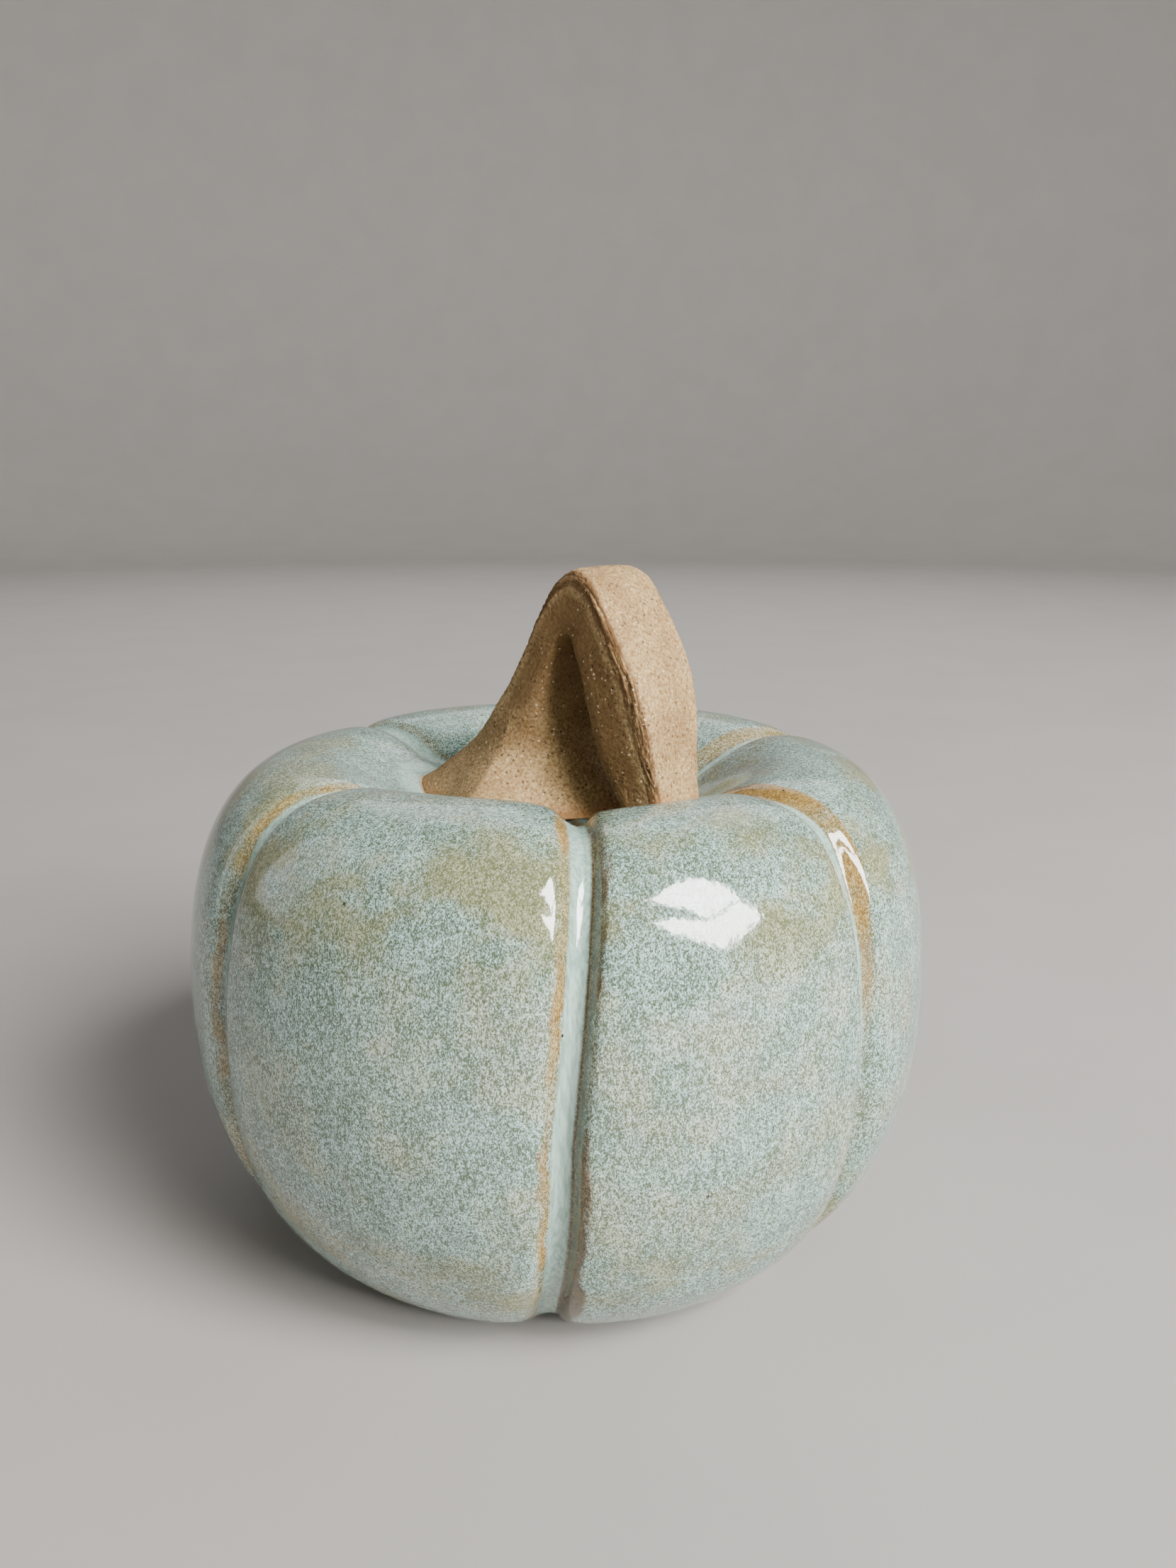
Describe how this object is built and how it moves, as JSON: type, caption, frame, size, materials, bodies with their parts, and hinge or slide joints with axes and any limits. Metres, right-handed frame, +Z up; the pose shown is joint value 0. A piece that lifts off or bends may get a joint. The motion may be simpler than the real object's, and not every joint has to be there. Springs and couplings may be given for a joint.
{
  "type": "ceramic pumpkin",
  "caption": "Hollow glazed stoneware pumpkin ornament with soft lobes, a vented flat foot and a looped stem of bare clay.",
  "frame": {"origin": "centre of the object's footprint, on the surface that it stands on", "axes": "+Z up; the stem curls over towards -Y; the front of the picture lies 45 degrees to the -X side of -Y"},
  "size_m": [0.1197, 0.1192, 0.1085],
  "materials": {
    "glaze": "glossy pale celadon glaze with fine pale blue-white streaks",
    "bare_clay": "matt sandy stoneware with fine dark and light grog"
  },
  "bodies": {
    "root": {"glazed_body": "glaze", "stem": "bare_clay"}
  },
  "joints": []
}
